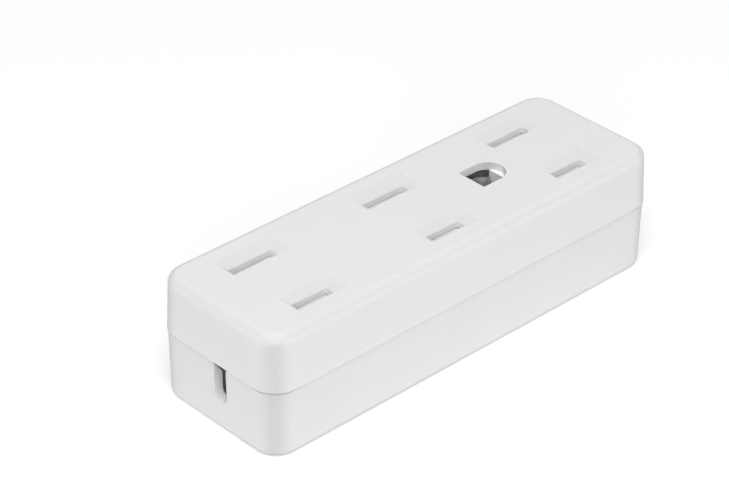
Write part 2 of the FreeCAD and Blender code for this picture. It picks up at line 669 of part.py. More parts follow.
def varistor_cradle():
    """Two side walls joined by two bridges that the disc stands on."""
    radius = VARISTOR_DIAMETER / 2
    inner = VARISTOR_THICKNESS / 2 + FIT_CLEARANCE
    pieces = []
    for side in (-1, 1):
        y = side * (inner + RIB / 2)
        pieces.append(pad(VARISTOR_X, y, radius - RIB, RIB / 2, FLOOR / 2, VARISTOR_POCKET_TOP))
    near_edge = VARISTOR_SEAT_OFFSET - RIB / 2
    seat_top = VARISTOR_HEIGHT - math.sqrt(radius ** 2 - near_edge ** 2) - FIT_CLEARANCE
    bridge_bottom = EARTH_STRIP_BOTTOM + EARTH_SHEET + SLIDE_CLEARANCE
    for side in (-1, 1):
        x = VARISTOR_X + side * VARISTOR_SEAT_OFFSET
        pieces.append(pad(x, 0, RIB / 2, inner, bridge_bottom, seat_top))
    return pieces


def frame_props():
    """Wall ribs that hold the shutter frame up against the cover."""
    props = []
    inner = CLIP_OUTER_FACE + BUS_THICKNESS + RIVET_HEAD_THICKNESS + FIT_CLEARANCE
    top = FRAME_BOTTOM - FIT_CLEARANCE
    upper_outer = inner_half_y(FRAME_BOTTOM) - SIDE_CLEARANCE
    for x0 in (-FRAME_END_X, FRAME_END_X - FRAME_PROP_LENGTH):
        x1 = x0 + FRAME_PROP_LENGTH
        for side in (-1, 1):
            low, high = on_side(side, inner, INNER_HALF_Y)
            props.append(block(x0, x1, low, high, FLOOR / 2, SEAM_HEIGHT))
            low, high = on_side(side, inner, upper_outer)
            props.append(block(x0, x1, low, high, SEAM_HEIGHT, top))
    return props


def make_lower_case():
    shell = case_outside().cut(corner_gaps()).fuse(case_lip()).cut(case_inside())
    ribs, grooves = bus_ribs()
    supports = clip_pads() + terminal_barriers() + varistor_cradle() + frame_props()
    body = shell.multiFuse(case_bosses() + ribs + supports)
    cuts = [notch_cut(), notch_slope_cut()] + grooves + case_boss_holes()
    return body.cut(cuts).removeSplitter()


# Shutters --------------------------------------------------------------------

def spring_window(x):
    """Lengthwise limits of the window that holds the return spring."""
    high = LANE_Y - SHUTTER_TRAVEL - SLOT_WIDTH / 2 - SLOT_CLEARANCE - SPRING_WINDOW_EDGE
    return high - SPRING_WINDOW_LENGTH, high


def make_shutter(x):
    window_half_y = SLOT_WIDTH / 2 + SLOT_CLEARANCE
    low_y = -SHUTTER_REACH_Y - SHUTTER_TRAVEL
    x0 = x - SHUTTER_HALF_X
    plate = block(x0, x0 + 2 * SHUTTER_HALF_X, low_y, SHUTTER_REACH_Y, SHUTTER_BOTTOM, SHUTTER_TOP)
    cuts = []
    for side, width in blade_sides():
        half_x = width / 2 + BLADE_WINDOW_MARGIN
        y = side * LANE_Y - SHUTTER_TRAVEL
        cuts.append(pad(x, y, half_x, window_half_y, SHUTTER_BOTTOM, SHUTTER_TOP))
        ramp_start = y + window_half_y
        ramp_end = side * LANE_Y + SLOT_WIDTH / 2
        ramp_foot = SHUTTER_TOP - SHUTTER_RAMP_DROP
        ramp = ((ramp_start, ramp_foot), (ramp_end, SHUTTER_TOP), (ramp_start, SHUTTER_TOP))
        cuts.append(prism_along_x(ramp, x - half_x, x + half_x))
    low, high = spring_window(x)
    half = SPRING_WINDOW_WIDTH / 2
    cuts.append(block(x - half, x + half, low, high, SHUTTER_BOTTOM, SHUTTER_TOP))
    return plate.cut(cuts).removeSplitter()


def spring_span():
    """Where the return spring starts and ends across the case."""
    low, high = spring_window(0)
    post_face = high - SLIDE_CLEARANCE - SPRING_POST_THICKNESS
    return low + FIT_CLEARANCE, post_face - FIT_CLEARANCE


def make_shutter_spring(x):
    """Coil spring between the shutter's window and the frame's post."""
    start, end = spring_span()
    half_wire = SPRING_WIRE_DIAMETER / 2
    length = end - start - SPRING_WIRE_DIAMETER
    radius = SPRING_MEAN_DIAMETER / 2
    helix = Part.makeHelix(length / SPRING_TURNS, length, radius)
    section = Part.Wire(Part.makeCircle(half_wire, vec(radius, 0, 0), vec(0, 1, 0)))
    coil = Part.Wire(helix.Edges).makePipeShell([section], True, True)
    coil.rotate(vec(0, 0, 0), vec(1, 0, 0), -QUARTER_TURN)
    coil.translate(vec(x, start + half_wire, (SHUTTER_BOTTOM + SHUTTER_TOP) / 2))
    return coil


def make_shutter_frame():
    """Plate under the shutters, with windows for the pins and spring posts."""
    half_y = inner_half_y(FRAME_TOP) - FRAME_SIDE_CLEARANCE
    plate = block(-FRAME_END_X, FRAME_END_X, -half_y, half_y, FRAME_BOTTOM, FRAME_TOP)
    low, high = spring_window(0)
    post_high = high - SLIDE_CLEARANCE
    post_half = SPRING_WINDOW_WIDTH / 2 - SLIDE_CLEARANCE
    posts = []
    cuts = []
    for x in OUTLET_X:
        post_low = post_high - SPRING_POST_THICKNESS
        post_top = SHUTTER_TOP - SLIDE_CLEARANCE
        posts.append(block(x - post_half, x + post_half, post_low, post_high, FRAME_TOP, post_top))
        for side, width in blade_sides():
            reach_x = width / 2 + FRAME_WINDOW_MARGIN
            reach_y = BLADE_THICKNESS / 2 + FRAME_WINDOW_MARGIN
            cuts.append(pad(x, side * LANE_Y, reach_x, reach_y, FRAME_BOTTOM, FRAME_TOP))
    x0 = EARTH_PIN_X - EARTH_WINDOW_HALF
    x1 = EARTH_STOP_X + RIB + FRAME_WINDOW_MARGIN
    cuts.append(block(x0, x1, -EARTH_WINDOW_HALF, EARTH_WINDOW_HALF, FRAME_BOTTOM, FRAME_TOP))
    for x in FRAME_SCREW_X:
        cuts.append(peg(x, 0, FRAME_BOTTOM, FRAME_TOP, FRAME_SCREW_DIAMETER + 2 * SLIDE_CLEARANCE))
    for x in CASE_SCREW_X:
        cuts.append(peg(x, 0, FRAME_BOTTOM, FRAME_TOP, CASE_BOSS_DIAMETER + 2 * FRAME_BOSS_CLEARANCE))
    return plate.multiFuse(posts).cut(cuts).removeSplitter()


def make_frame_screws():
    length = FRAME_THICKNESS + FRAME_SCREW_BITE - SLIDE_CLEARANCE
    screws = []
    for x in FRAME_SCREW_X:
        screws.append(screw_up(x, 0, FRAME_BOTTOM, FRAME_SCREW_DIAMETER, length,
                               FRAME_SCREW_HEAD_DIAMETER, FRAME_SCREW_HEAD_HEIGHT))
    return Part.makeCompound(screws)


# Contacts --------------------------------------------------------------------

def make_blade_clip(x, side, blade_width):
    """Sheet clip: two leaves that pinch the blade, and a tab for the bus."""
    base = CLIP_BASE_GAP / 2
    pinch = CLIP_PINCH_GAP / 2
    mouth = CLIP_MOUTH_GAP / 2
    inner = (
        (base, CLIP_BOTTOM + CLIP_SHEET),
        (base, CLIP_SHOULDER_HEIGHT),
        (pinch, CLIP_PINCH_HEIGHT),
        (mouth, CLIP_TOP),
    )
    outer = [(y + CLIP_SHEET, z) for y, z in inner[1:]]
    right = list(inner) + outer[::-1] + [(base + CLIP_SHEET, CLIP_BOTTOM)]
    left = [(-y, z) for y, z in right][::-1]
    lane = side * LANE_Y
    points = [(lane + y, z) for y, z in left + right]
    half_x = blade_width / 2 - CLIP_END_MARGIN
    clip = prism_along_x(points, x - half_x, x + half_x)
    low, high = on_side(side, CLIP_OUTER_FACE - CLIP_SHEET, CLIP_OUTER_FACE)
    tab = block(x, x + CLIP_TAB_END, low, high, BUS_BOTTOM, BUS_TOP)
    hole = cross_bar(x + RIVET_OFFSET, low, high, RIVET_HEIGHT, RIVET_HOLE_DIAMETER)
    return clip.fuse(tab).cut(hole).removeSplitter()


def make_bus_strip(side):
    """Strip that joins the three clips of one pole, with its terminal tab."""
    outer = CLIP_OUTER_FACE + BUS_THICKNESS
    low, high = on_side(side, CLIP_OUTER_FACE, outer)
    strip = block(BUS_START, BUS_END, low, high, BUS_BOTTOM, BUS_TOP)
    tab_low, tab_high = on_side(side, TERMINAL_INNER_EDGE, outer)
    tab = block(TERMINAL_START, TERMINAL_END + TERMINAL_LEAD_LEDGE, tab_low, tab_high,
                BUS_TOP - BUS_THICKNESS, BUS_TOP)
    cuts = [peg(TERMINAL_X, side * TERMINAL_SPACING, BUS_BOTTOM, BUS_TOP,
                TERMINAL_SCREW_DIAMETER + 2 * FIT_CLEARANCE)]
    for x in OUTLET_X:
        cuts.append(cross_bar(x + RIVET_OFFSET, low, high, RIVET_HEIGHT, RIVET_HOLE_DIAMETER))
    return strip.fuse(tab).cut(cuts).removeSplitter()


def make_rivets():
    rivets = []
    inner = CLIP_OUTER_FACE - CLIP_SHEET
    outer = CLIP_OUTER_FACE + BUS_THICKNESS
    head = RIVET_HEAD_THICKNESS
    for x in OUTLET_X:
        for side in (-1, 1):
            at = x + RIVET_OFFSET
            low, high = on_side(side, inner - head, outer + head)
            shank = cross_bar(at, low, high, RIVET_HEIGHT, RIVET_DIAMETER)
            first = cross_bar(at, low, low + head, RIVET_HEIGHT, RIVET_HEAD_DIAMETER)
            second = cross_bar(at, high - head, high, RIVET_HEIGHT, RIVET_HEAD_DIAMETER)
            rivets.append(shank.multiFuse([first, second]).removeSplitter())
    return Part.makeCompound(rivets)


def make_earth_strip():
    """Strip from the earth sleeve under the varistor and up to its terminal."""
    top = BUS_TOP
    low = EARTH_STRIP_BOTTOM
    riser = TERMINAL_END + TERMINAL_LEAD_LEDGE
    far = EARTH_PIN_X
    outline = (
        (TERMINAL_START, top - EARTH_SHEET),
        (riser - EARTH_SHEET, top - EARTH_SHEET),
        (riser - EARTH_SHEET, low),
        (far, low),
        (far, low + EARTH_SHEET),
        (riser, low + EARTH_SHEET),
        (riser, top),
        (TERMINAL_START, top),
    )
    half = EARTH_STRIP_WIDTH / 2
    strip = prism_along_y(outline, -half, half)
    foot_diameter = 2 * (EARTH_GRIP_RADIUS + CLIP_SHEET + EARTH_FOOT_MARGIN)
    foot = peg(far, 0, low, low + EARTH_SHEET, foot_diameter)
    pin_hole = peg(far, 0, low, low + EARTH_SHEET, EARTH_POCKET_DIAMETER)
    screw_hole = peg(TERMINAL_X, 0, top - EARTH_SHEET, top, TERMINAL_SCREW_DIAMETER + 2 * FIT_CLEARANCE)
    return strip.fuse(foot).cut([pin_hole, screw_hole]).removeSplitter()


def make_earth_sleeve():
    """Split sleeve that grips the earth pin, with a flared mouth and a slit that widens into it."""
    grip = EARTH_GRIP_RADIUS
    flare_start = EARTH_SLEEVE_TOP - EARTH_SLEEVE_FLARE_HEIGHT
    low = EARTH_STRIP_BOTTOM + EARTH_SHEET + FIT_CLEARANCE
    outside = peg(EARTH_PIN_X, 0, low, flare_start, 2 * (grip + CLIP_SHEET))
    inside = peg(EARTH_PIN_X, 0, low, flare_start, 2 * grip)
    base = vec(EARTH_PIN_X, 0, flare_start)
    up = vec(0, 0, 1)
    flare = grip + EARTH_SLEEVE_FLARE
    rise = EARTH_SLEEVE_FLARE_HEIGHT
    horn = Part.makeCone(grip + CLIP_SHEET, flare + CLIP_SHEET, rise, base, up)
    horn_inside = Part.makeCone(grip, flare, rise, base, up)
    sleeve = outside.fuse(horn).cut(inside.fuse(horn_inside))
    narrow = EARTH_SLEEVE_SLIT / 2
    wide = EARTH_SLEEVE_MOUTH_SLIT / 2
    right = [(narrow, low), (narrow, flare_start), (wide, EARTH_SLEEVE_TOP)]
    left = [(-y, z) for y, z in right][::-1]
    slit = prism_along_x(right + left, EARTH_PIN_X, EARTH_PIN_X + EARTH_PIN_DIAMETER)
    return sleeve.cut(slit).removeSplitter()


# Terminals, clamp and case screws --------------------------------------------

def make_terminal_washers():
    washers = []
    half = TERMINAL_WASHER_SIDE / 2
    low = BUS_TOP + FIT_CLEARANCE
    high = low + TERMINAL_WASHER_THICKNESS
    for x, y in terminal_places():
        plate = pad(x, y, half, half, low, high)
        hole = peg(x, y, low, high, TERMINAL_SCREW_DIAMETER + 2 * SLIDE_CLEARANCE)
        washers.append(plate.cut(hole))
    return Part.makeCompound(washers)


def make_terminal_screws():
    seat = BUS_TOP + 2 * FIT_CLEARANCE + TERMINAL_WASHER_THICKNESS
    screws = []
    for x, y in terminal_places():
        screws.append(screw_down(x, y, seat, TERMINAL_SCREW_DIAMETER, TERMINAL_SCREW_LENGTH,
                                 TERMINAL_SCREW_HEAD_DIAMETER, TERMINAL_SCREW_HEAD_HEIGHT))
    return Part.makeCompound(screws)


def make_cord_clamp():
    """Bent saddle that presses the flat cord down into its entry."""
    crown_half = NOTCH_HALF + CLAMP_SHEET
    foot = CLAMP_BOSS_TOP + FIT_CLEARANCE
    crown = NOTCH_BOTTOM + CORD_HEIGHT
    reach = CLAMP_SCREW_Y + CLAMP_FOOT_LENGTH / 2
    right = [
        (NOTCH_HALF, crown),
        (NOTCH_HALF, foot),
        (reach, foot),
        (reach, foot + CLAMP_SHEET),
        (crown_half, foot + CLAMP_SHEET),
        (crown_half, crown + CLAMP_SHEET),
    ]
    left = [(-y, z) for y, z in right][::-1]
    points = [(CORD_Y + y, z) for y, z in right + left]
    x0 = CLAMP_X - CLAMP_LENGTH / 2
    saddle = prism_along_x(points, x0, x0 + CLAMP_LENGTH)
    hole_diameter = CLAMP_SCREW_DIAMETER + 2 * SLIDE_CLEARANCE
    holes = [peg(x, y, foot, foot + CLAMP_SHEET, hole_diameter) for x, y in clamp_screw_places()]
    return saddle.cut(holes)


def make_clamp_screws():
    seat = CLAMP_BOSS_TOP + 2 * FIT_CLEARANCE + CLAMP_SHEET
    screws = []
    for x, y in clamp_screw_places():
        screws.append(screw_down(x, y, seat, CLAMP_SCREW_DIAMETER, CLAMP_SCREW_LENGTH,
                                 CLAMP_SCREW_HEAD_DIAMETER, CLAMP_SCREW_HEAD_HEIGHT))
    return Part.makeCompound(screws)


def make_case_screws():
    screws = []
    seat = CASE_SCREW_RECESS_DEPTH - FIT_CLEARANCE
    for x in CASE_SCREW_X:
        screws.append(screw_up(x, 0, seat, CASE_SCREW_DIAMETER, CASE_SCREW_LENGTH,
                               CASE_SCREW_HEAD_DIAMETER, CASE_SCREW_HEAD_HEIGHT))
    return Part.makeCompound(screws)


# Surge parts -----------------------------------------------------------------

def make_varistor():
    half = VARISTOR_THICKNESS / 2
    disc = cross_bar(VARISTOR_X, -half, half, VARISTOR_HEIGHT, VARISTOR_DIAMETER)
    rims = [edge for edge in disc.Edges if len(edge.Vertexes) == 1 and edge.Length > VARISTOR_DIAMETER]
    return disc.makeFillet(VARISTOR_ROUNDING, rims)


def make_varistor_leads():
    """One lead to the neutral tab, one up beside the fuse's own lead."""
    radius = VARISTOR_DIAMETER / 2
    tab_x = TERMINAL_END + TERMINAL_LEAD_LEDGE / 2
    rest = BUS_TOP + LEAD_DIAMETER / 2 + FIT_CLEARANCE
    far_x = VARISTOR_X + radius + LEAD_REACH
    to_neutral = wire_run((
        (VARISTOR_X - radius + FIT_CLEARANCE, LEAD_FACE_OFFSET, VARISTOR_HEIGHT),
        (tab_x, LEAD_FACE_OFFSET, VARISTOR_HEIGHT),
        (tab_x, TERMINAL_SPACING - LEAD_DIAMETER, rest),
    ), LEAD_DIAMETER)
    to_fuse = wire_run((
        (VARISTOR_X + radius - FIT_CLEARANCE, -LEAD_FACE_OFFSET, VARISTOR_HEIGHT),
        (far_x, -LEAD_FACE_OFFSET, VARISTOR_HEIGHT),
        (far_x, -LEAD_FACE_OFFSET, FUSE_HEIGHT + LEAD_DIAMETER / 2),
    ), LEAD_DIAMETER)
    disc = make_varistor()
    return Part.makeCompound([to_neutral.cut(disc), to_fuse.cut(disc)])


def make_thermal_fuse():
    start = vec(VARISTOR_X - FUSE_LENGTH / 2, FUSE_Y, FUSE_HEIGHT)
    body = Part.makeCylinder(FUSE_DIAMETER / 2, FUSE_LENGTH, start, vec(1, 0, 0))
    ends = [edge for edge in body.Edges if len(edge.Vertexes) == 1]
    return body.makeFillet(FUSE_ROUNDING, ends)


def make_fuse_leads():
    """Leads from the fuse to the live tab and to the varistor."""
    radius = VARISTOR_DIAMETER / 2
    tab_x = TERMINAL_END + TERMINAL_LEAD_LEDGE / 2
    rest = BUS_TOP + LEAD_DIAMETER / 2 + FIT_CLEARANCE
    far_x = VARISTOR_X + radius + LEAD_REACH
    x0 = VARISTOR_X - FUSE_LENGTH / 2
    x1 = VARISTOR_X + FUSE_LENGTH / 2
    to_live = wire_run((
        (x0, FUSE_Y, FUSE_HEIGHT),
        (tab_x, FUSE_Y, FUSE_HEIGHT),
        (tab_x, -TERMINAL_SPACING + LEAD_DIAMETER, rest),
    ), LEAD_DIAMETER)
    to_varistor = wire_run((
        (x1, FUSE_Y, FUSE_HEIGHT),
        (far_x, FUSE_Y, FUSE_HEIGHT),
        (far_x, -LEAD_FACE_OFFSET - LEAD_DIAMETER / 2 - FIT_CLEARANCE, FUSE_HEIGHT),
    ), LEAD_DIAMETER)
    return Part.makeCompound([to_live, to_varistor])


def save(shape, node):
    shape.exportStep("parts/" + node + ".step")


def main():
    os.makedirs("parts", exist_ok=True)
    save(make_upper_cover(), "upper_cover")
    save(make_lower_case(), "lower_case")
    save(make_shutter_frame(), "shutter_frame")
    save(make_frame_screws(), "shutter_frame_screws")
    for number, x in enumerate(OUTLET_X, start=1):
        save(make_shutter(x), f"shutter_{number}")
        save(make_shutter_spring(x), f"shutter_spring_{number}")
        for side, width in blade_sides():
            pole = "live" if side < 0 else "neutral"
            save(make_blade_clip(x, side, width), f"{pole}_clip_{number}")
    save(make_bus_strip(-1), "live_bus_strip")
    save(make_bus_strip(1), "neutral_bus_strip")
    save(make_rivets(), "clip_rivets")
    save(make_earth_strip(), "earth_strip")
    save(make_earth_sleeve(), "earth_sleeve")
    save(make_terminal_washers(), "terminal_washers")
    save(make_terminal_screws(), "terminal_screws")
    save(make_cord_clamp(), "cord_clamp")
    save(make_clamp_screws(), "clamp_screws")
    save(make_case_screws(), "case_screws")
    save(make_varistor(), "varistor")
    save(make_varistor_leads(), "varistor_leads")
    save(make_thermal_fuse(), "thermal_fuse")
    save(make_fuse_leads(), "fuse_leads")


if __name__ == "__main__":
    main()
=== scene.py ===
"""Looks of a three-outlet power tap: moulded shells, shutters, contacts and surge parts."""
import json
import math

import bmesh
import bpy
from mathutils import Matrix, Vector

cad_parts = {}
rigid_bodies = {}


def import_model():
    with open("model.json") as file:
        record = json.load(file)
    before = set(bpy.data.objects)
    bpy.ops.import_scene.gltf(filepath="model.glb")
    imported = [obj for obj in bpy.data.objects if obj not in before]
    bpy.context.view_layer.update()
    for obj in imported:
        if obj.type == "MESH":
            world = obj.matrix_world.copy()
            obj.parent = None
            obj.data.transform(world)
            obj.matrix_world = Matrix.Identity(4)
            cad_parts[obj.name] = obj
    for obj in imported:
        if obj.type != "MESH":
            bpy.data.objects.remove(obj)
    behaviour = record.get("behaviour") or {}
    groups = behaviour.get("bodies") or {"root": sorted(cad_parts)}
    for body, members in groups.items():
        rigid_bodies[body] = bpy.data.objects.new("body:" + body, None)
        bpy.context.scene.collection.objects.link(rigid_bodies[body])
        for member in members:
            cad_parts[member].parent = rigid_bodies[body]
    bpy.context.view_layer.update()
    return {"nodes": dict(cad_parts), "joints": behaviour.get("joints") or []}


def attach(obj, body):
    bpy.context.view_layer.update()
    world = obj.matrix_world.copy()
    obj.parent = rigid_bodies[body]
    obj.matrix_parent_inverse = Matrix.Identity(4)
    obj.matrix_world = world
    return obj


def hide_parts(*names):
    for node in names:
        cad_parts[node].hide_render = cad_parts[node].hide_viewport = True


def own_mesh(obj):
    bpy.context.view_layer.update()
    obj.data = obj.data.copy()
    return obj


bl_info = {
    "name": "Power Tap Looks",
    "version": (1, 0, 0),
    "blender": (4, 5, 0),
    "location": "View3D > Sidebar > Power Tap",
    "description": "Finishes the shells, shutters, contacts and stage of a three-outlet power tap",
    "category": "Object",
}

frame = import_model()
OUTLETS = (1, 2, 3)
LAMPS = ("front_lamp", "high_lamp", "right_lamp", "left_lamp")

# How far a surface turns from a flat wall where the painted shade on rounded edges starts, and where it
# is full.
PAINTED_SHADE_START = math.sin(math.radians(4))
PAINTED_SHADE_END = math.sin(math.radians(38))

# Parts of a noise's range that a pattern uses, from its low end to its high end.
FLOW_SPAN = (0.35, 0.65)
GRAIN_SPAN = (0.3, 0.7)
MARK_SPAN = (0.2, 0.8)
PATCH_SPAN = (0.35, 0.7)

# How much detail each noise has.
FLOW_DETAIL = 1.0
GRAIN_DETAIL = 2.0
MARK_DETAIL = 3.0
PATCH_DETAIL = 4.0

# How far grain and marks move the roughness up and down, and how much dull patches add to it.
ROUGHNESS_SWING = 0.05
PATCH_ROUGHNESS = 0.18

# How dark and how light drawing marks make the metal, and how many dull patches a metre holds.
MARK_SHADES = (0.94, 1.04)
PATCHES_PER_METRE = 260.0

# Drawing marks are this many times as wide as they are deep.
MARK_WIDTH_TO_DEPTH = 60

# Stretch of marks that run no particular way; a small number along an axis draws them out along it.
EVEN = (1.0, 1.0, 1.0)

PLASTIC_IOR = 1.46
FLOOR_ROUGHNESS = 0.9

# Points nearer than this, in metres, become one when a solid is copied.
MERGE_DISTANCE = 0.000001

# Camera's sensor in millimetres, and the nearest and farthest that it sees in metres.
SENSOR_WIDTH = 36.0
CAMERA_CLIP = (0.01, 20.0)


# Sizes and colours ------------------------------------------------------------

class ShellSettings(bpy.types.PropertyGroup):
    """Moulded outside shells."""

    color: bpy.props.FloatVectorProperty(
        name="Shell colour", description="Colour of the white outside plastic",
        subtype="COLOR", size=3, min=0.0, max=1.0, default=(0.90, 0.902, 0.905))
    roughness: bpy.props.FloatProperty(
        name="Roughness", description="Roughness of the satin outside plastic",
        subtype="FACTOR", min=0.0, max=1.0, default=0.45)
    shine: bpy.props.FloatProperty(
        name="Shine",
        description="Strength of the outside plastic's reflections; 0.5 is that of clear plastic",
        subtype="FACTOR", min=0.0, max=1.0, default=0.15)
    grain_size: bpy.props.FloatProperty(
        name="Grain size", description="Size of one speck of the moulded texture",
        unit="LENGTH", subtype="DISTANCE", min=0.00005, max=0.002, default=0.00022)
    grain_depth: bpy.props.FloatProperty(
        name="Grain depth", description="Depth of the moulded texture",
        unit="LENGTH", subtype="DISTANCE", min=0.0, max=0.0001, precision=6, default=0.000004)
    flow_size: bpy.props.FloatProperty(
        name="Flow size", description="Size of the slow waves that moulding leaves in a flat wall",
        unit="LENGTH", subtype="DISTANCE", min=0.001, max=0.1, default=0.011)
    variation: bpy.props.FloatProperty(
        name="Variation", description="How far those waves make the plastic lighter or darker",
        subtype="FACTOR", min=0.0, max=0.1, default=0.004)
    # Painted shade: the shells' rounded edges and sloped walls are drawn darker by this share.
    painted_edge_shade: bpy.props.FloatProperty(
        name="Painted edge shade",
        description="Share of its lightness that the plastic keeps on rounded edges, as painted shade",
        subtype="FACTOR", min=0.0, max=1.0, default=0.84)


class InnerSettings(bpy.types.PropertyGroup):
    """Plastic parts inside."""

    # Painted shade: the white shutters are given a grey colour for the shade inside the slots.
    shaded_shutter_color: bpy.props.FloatVectorProperty(
        name="Shaded shutter colour", description="Colour of the white shutters behind the slots, darkened as painted shade",
        subtype="COLOR", size=3, min=0.0, max=1.0, default=(0.68, 0.68, 0.68))
    frame_color: bpy.props.FloatVectorProperty(
        name="Frame colour", description="Colour of the frame under the shutters",
        subtype="COLOR", size=3, min=0.0, max=1.0, default=(0.74, 0.74, 0.73))
    varistor_color: bpy.props.FloatVectorProperty(
        name="Varistor colour", description="Colour of the varistor's dipped coat",
        subtype="COLOR", size=3, min=0.0, max=1.0, default=(0.03, 0.11, 0.33))
    fuse_color: bpy.props.FloatVectorProperty(
        name="Fuse colour", description="Colour of the thermal fuse's body",
        subtype="COLOR", size=3, min=0.0, max=1.0, default=(0.66, 0.60, 0.47))


class MetalSettings(bpy.types.PropertyGroup):
    """Contacts, screws and springs."""

    strip_color: bpy.props.FloatVectorProperty(
        name="Strip colour", description="Colour of the brass strips",
        subtype="COLOR", size=3, min=0.0, max=1.0, default=(0.72, 0.52, 0.22))
    clip_color: bpy.props.FloatVectorProperty(
        name="Clip colour", description="Colour of the bronze contact clips",
        subtype="COLOR", size=3, min=0.0, max=1.0, default=(0.70, 0.42, 0.22))
    plate_color: bpy.props.FloatVectorProperty(
        name="Plating colour", description="Colour of the zinc-plated screws, washers and clamp",
        subtype="COLOR", size=3, min=0.0, max=1.0, default=(0.58, 0.59, 0.61))
    sleeve_color: bpy.props.FloatVectorProperty(
        name="Sleeve colour", description="Colour of the nickel-plated earth sleeve",
        subtype="COLOR", size=3, min=0.0, max=1.0, default=(0.40, 0.40, 0.40))
    drawing_size: bpy.props.FloatProperty(
        name="Drawing mark size", description="Width of the rolling and drawing marks on sheet and wire",
        unit="LENGTH", subtype="DISTANCE", min=0.00005, max=0.002, default=0.0003)


class LampSettings(bpy.types.PropertyGroup):
    """Soft round lamps: front, high, right and left."""

    distance: bpy.props.FloatProperty(
        name="Distance", description="Distance from each lamp to the case",
        unit="LENGTH", subtype="DISTANCE", min=0.2, max=5.0, default=1.1)
    size: bpy.props.FloatProperty(
        name="Size", description="Diameter of each lamp",
        unit="LENGTH", subtype="DISTANCE", min=0.01, max=2.0, default=0.75)
    azimuths: bpy.props.FloatVectorProperty(
        name="Azimuths", description="Where each lamp stands round the case; 0 is straight in front",
        unit="ROTATION", size=4, default=[math.radians(angle) for angle in (-43, -43, 47, -133)])
    elevations: bpy.props.FloatVectorProperty(
        name="Elevations", description="Height of each lamp above the horizon",
        unit="ROTATION", size=4, default=[math.radians(angle) for angle in (33, 70, 14, 14)])
    powers: bpy.props.FloatVectorProperty(
        name="Powers", description="Power of each lamp",
        unit="POWER", size=4, min=0.0, default=(4.6, 7.6, 2.6, 2.4))


class StageSettings(bpy.types.PropertyGroup):
    """Floor, sky and camera."""

    floor_size: bpy.props.FloatProperty(
        name="Floor size", description="Side of the square floor",
        unit="LENGTH", subtype="DISTANCE", min=1.0, max=20.0, default=6.0)
    floor_color: bpy.props.FloatVectorProperty(
        name="Floor colour", description="Colour of the floor",
        subtype="COLOR", size=3, min=0.0, max=1.0, default=(0.72, 0.72, 0.72))
    floor_glow: bpy.props.FloatProperty(
        name="Floor glow", description="Light added to the floor where the camera sees it",
        min=0.0, max=1.0, default=0.42)
    world_strength: bpy.props.FloatProperty(
        name="Sky strength", description="Strength of the even light from all round",
        min=0.0, max=2.0, default=0.05)
    camera_azimuth: bpy.props.FloatProperty(
        name="Camera azimuth", description="Where the camera stands round the case; 0 looks along +Y",
        subtype="ANGLE", unit="ROTATION", default=math.radians(-43.161))
    camera_elevation: bpy.props.FloatProperty(
        name="Camera elevation", description="Height of the camera above the horizon",
        subtype="ANGLE", unit="ROTATION", default=math.radians(32.796))
    camera_roll: bpy.props.FloatProperty(
        name="Camera roll", description="Turn of the camera about its line of sight",
        subtype="ANGLE", unit="ROTATION", default=math.radians(0.318))
    camera_distance: bpy.props.FloatProperty(
        name="Camera distance", description="Distance from the camera to the middle of the case",
        unit="LENGTH", subtype="DISTANCE", min=0.1, max=5.0, default=0.397232)
    camera_lens: bpy.props.FloatProperty(
        name="Camera lens", description="Focal length on a sensor 36 mm wide",
        unit="CAMERA", min=10.0, max=500.0, default=131.733)
    aim_offset: bpy.props.FloatVectorProperty(
        name="Aim offset",
        description="How far the middle of the case stands right of and above the line of sight",
        unit="LENGTH", subtype="TRANSLATION", size=2, default=(0.007365, -0.002159))
    aim_height: bpy.props.FloatProperty(
        name="Aim height", description="Height of the point that the camera's distance is measured from",
        unit="LENGTH", subtype="DISTANCE", min=0.0, max=0.1, default=0.010)


SETTINGS = (
    ("tap_shell", ShellSettings),
    ("tap_inner", InnerSettings),
    ("tap_metal", MetalSettings),
    ("tap_lamps", LampSettings),
    ("tap_stage", StageSettings),
)


# Node helpers -----------------------------------------------------------------

def add_node(tree, kind, **values):
    """Shader node with some of its properties set."""
    node = tree.nodes.new(kind)
    for key, value in values.items():
        setattr(node, key, value)
    return node


def new_group(name, inputs, outputs):
    """Empty shader group with named sockets; returns the tree, its input node and its output node."""
    tree = bpy.data.node_groups.new(name, "ShaderNodeTree")
    for label, kind, default in inputs:
        socket = tree.interface.new_socket(name=label, in_out="INPUT", socket_type=kind)
        if default is not None:
            socket.default_value = default
    for label, kind in outputs:
        tree.interface.new_socket(name=label, in_out="OUTPUT", socket_type=kind)
    return tree, tree.nodes.new("NodeGroupInput"), tree.nodes.new("NodeGroupOutput")


def link(tree, source, target):
    """Wire from an output socket to an input socket."""
    tree.links.new(source, target)


def feed(tree, value, socket):
    """Gives an input socket its value, which is another socket or a plain number."""
    if isinstance(value, bpy.types.NodeSocket):
        link(tree, value, socket)
    else:
        socket.default_value = value


def math_node(tree, operation, first, second):
    """Result of a sum on two sockets or plain numbers."""
    node = add_node(tree, "ShaderNodeMath", operation=operation)
    feed(tree, first, node.inputs[0])
    feed(tree, second, node.inputs[1])
    return node.outputs[0]


def noise(tree, vector, scale, detail):
    """Noise value over a vector; its scale is how many waves a metre holds."""
    node = add_node(tree, "ShaderNodeTexNoise", noise_dimensions="3D")
    link(tree, vector, node.inputs["Vector"])
    feed(tree, scale, node.inputs["Scale"])
    node.inputs["Detail"].default_value = detail
    return node.outputs["Fac"]


def map_range(tree, value, span, new_low, new_high):
    """Value moved from one range to another, held at its ends."""
    node = add_node(tree, "ShaderNodeMapRange")
    link(tree, value, node.inputs["Value"])
    labels = ("From Min", "From Max", "To Min", "To Max")
    for label, amount in zip(labels, (*span, new_low, new_high)):
        feed(tree, amount, node.inputs[label])
    return node.outputs["Result"]


